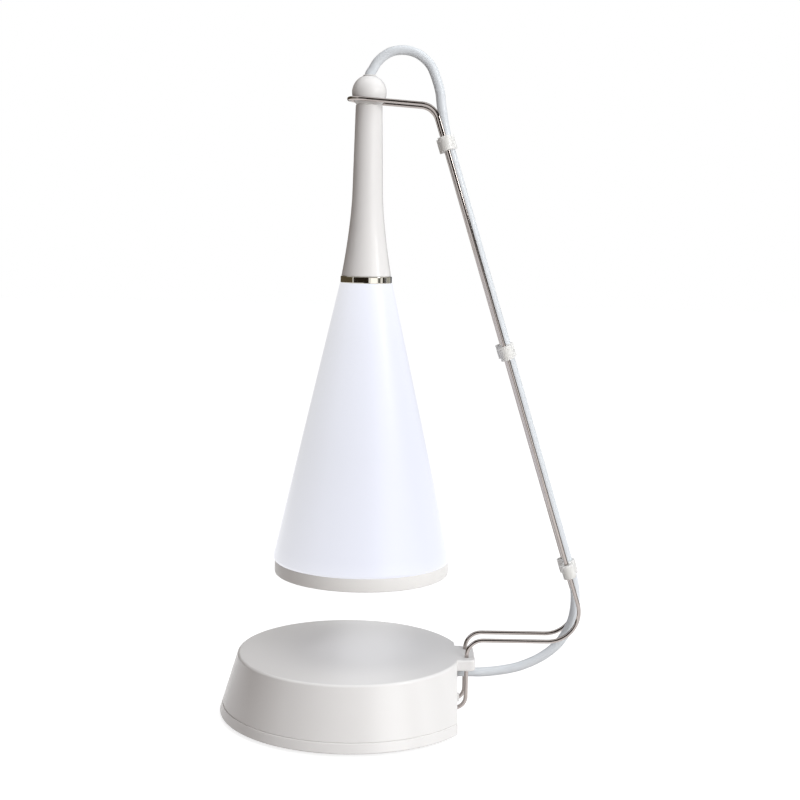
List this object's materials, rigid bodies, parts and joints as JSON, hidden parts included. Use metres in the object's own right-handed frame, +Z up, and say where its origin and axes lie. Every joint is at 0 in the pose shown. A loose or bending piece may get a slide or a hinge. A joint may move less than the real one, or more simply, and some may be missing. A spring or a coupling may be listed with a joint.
{
  "type": "bedside speaker lamp",
  "caption": "Bedside lamp: a frosted bell-shaped light hangs by its ball from a bent wire arm on a round white base with a loudspeaker, sockets and a slide switch.",
  "frame": {"origin": "on the axis of the round base, at the undersides of the feet", "axes": "+Z up; +X from the base axis through the flat back to the wire arm; +Y to the back of the picture's view"},
  "size_m": [0.1799, 0.13, 0.3297],
  "materials": {
    "white_gloss": "gloss",
    "grey_rubber": "matte",
    "screw_steel": "zinc plated",
    "plain_steel": "satin",
    "black_foam": "matte foam",
    "black_steel": "satin",
    "ferrite": "matte",
    "black_paper": "matte paper",
    "copper": "lacquered",
    "tan_cloth": "matte",
    "green_board": "gloss",
    "black_plastic": "matte",
    "blue_wrap": "gloss",
    "bright_chrome": "mirror",
    "polished_stainless": "polished",
    "milky_plastic": "satin",
    "white_pvc": "gloss",
    "white_rubber": "satin",
    "yellow_brass": "plain",
    "frosted_shade": "frosted",
    "grey_white_plastic": "satin",
    "plain_aluminium": "satin",
    "white_board": "satin",
    "yellow_phosphor": "gloss",
    "grey_pvc": "satin"
  },
  "bodies": {
    "base": {"base_shell": "white_gloss", "base_cover": "white_gloss", "rubber_feet": "grey_rubber", "cover_screws": "screw_steel", "ballast_plate": "plain_steel", "speaker_gasket": "black_foam", "speaker_basket": "black_steel", "speaker_magnet": "ferrite", "speaker_yoke": "plain_steel", "speaker_surround": "grey_rubber", "speaker_spider": "tan_cloth", "speaker_screws": "screw_steel", "main_board": "green_board", "board_parts": "black_plastic", "board_screws": "screw_steel", "battery": "blue_wrap", "audio_jack": "black_plastic", "charge_socket": "bright_chrome", "switch_body": "black_plastic", "wire_arm": "polished_stainless", "arm_clamp": "plain_steel", "clamp_screws": "screw_steel", "clip_upper": "milky_plastic", "clip_middle": "milky_plastic", "clip_lower": "milky_plastic", "lamp_cable": "white_pvc", "cable_arch": "white_pvc", "base_grommet": "white_rubber"},
    "cone": {"speaker_cone": "black_paper", "speaker_dust_cap": "black_paper", "voice_coil": "copper"},
    "knob": {"switch_knob": "white_gloss"},
    "cable_end": {"cable_grommet": "white_rubber"},
    "bell": {"ball_cap": "white_gloss", "ball_nipple": "yellow_brass", "nipple_nut": "yellow_brass", "neck": "white_gloss", "chrome_ring": "bright_chrome", "shade": "frosted_shade", "rim_ring": "grey_white_plastic", "bottom_lens": "frosted_shade", "led_holder": "plain_aluminium", "led_board": "white_board", "led_chips": "yellow_phosphor", "led_screws": "screw_steel", "bell_lead": "grey_pvc"}
  },
  "joints": [
    {"name": "bell_swing", "type": "hinge", "parent": "base", "child": "cable_end", "pos_m": [0.005, 0, 0.30696], "axis": [0, 1, 0], "range_deg": [-13, 14], "deforming": ["cable_arch"]},
    {"name": "bell_twist", "type": "hinge", "parent": "cable_end", "child": "bell", "pos_m": [0.005, 0, 0.30696], "axis": [0, 0, 1], "range_deg": [-45, 45]},
    {"name": "cone_travel", "type": "slide", "parent": "base", "child": "cone", "axis": [0, 0, 1], "range_m": [-0.001, 0.001], "stiffness_N_per_m": 1500, "deforming": ["speaker_surround", "speaker_spider"]},
    {"name": "switch_slide", "type": "slide", "parent": "base", "child": "knob", "axis": [0, 1, 0], "range_m": [-0.002, 0.002]}
  ]
}
